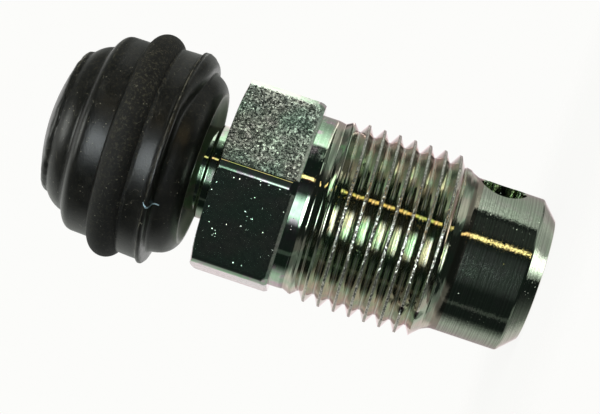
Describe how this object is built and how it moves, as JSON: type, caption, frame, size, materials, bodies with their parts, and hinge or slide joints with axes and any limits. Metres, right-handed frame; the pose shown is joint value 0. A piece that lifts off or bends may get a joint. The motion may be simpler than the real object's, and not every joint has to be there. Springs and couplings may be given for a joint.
{
  "type": "brake bleeder valve",
  "caption": "Brake bleeder valve: plated steel screw with fine thread, hexagon, cross-drilled nose and hose nipple, under a pull-off rubber dust cap.",
  "frame": {"origin": "centre of the flat end face of the nose, which is also the lowest point of the part", "axes": "+Z along the screw's axis from the nose to the dust cap, X square to two flats of the hexagon, the outlet hole 20 degrees from +X towards -Y"},
  "size_m": [0.0146, 0.0146, 0.032],
  "materials": {
    "plated_steel": "bright zinc plate with a greenish and pink passivation, fine grain on the hexagon",
    "black_rubber": "black moulded rubber, semi-matt, dusty"
  },
  "bodies": {
    "screw": {"bleeder_screw": "plated_steel"},
    "cap": {"dust_cap": "black_rubber"}
  },
  "joints": [
    {"name": "dust_cap_pull", "type": "slide", "parent": "screw", "child": "cap", "axis": [0, 0, 1], "range_m": [0, 0.012]}
  ]
}
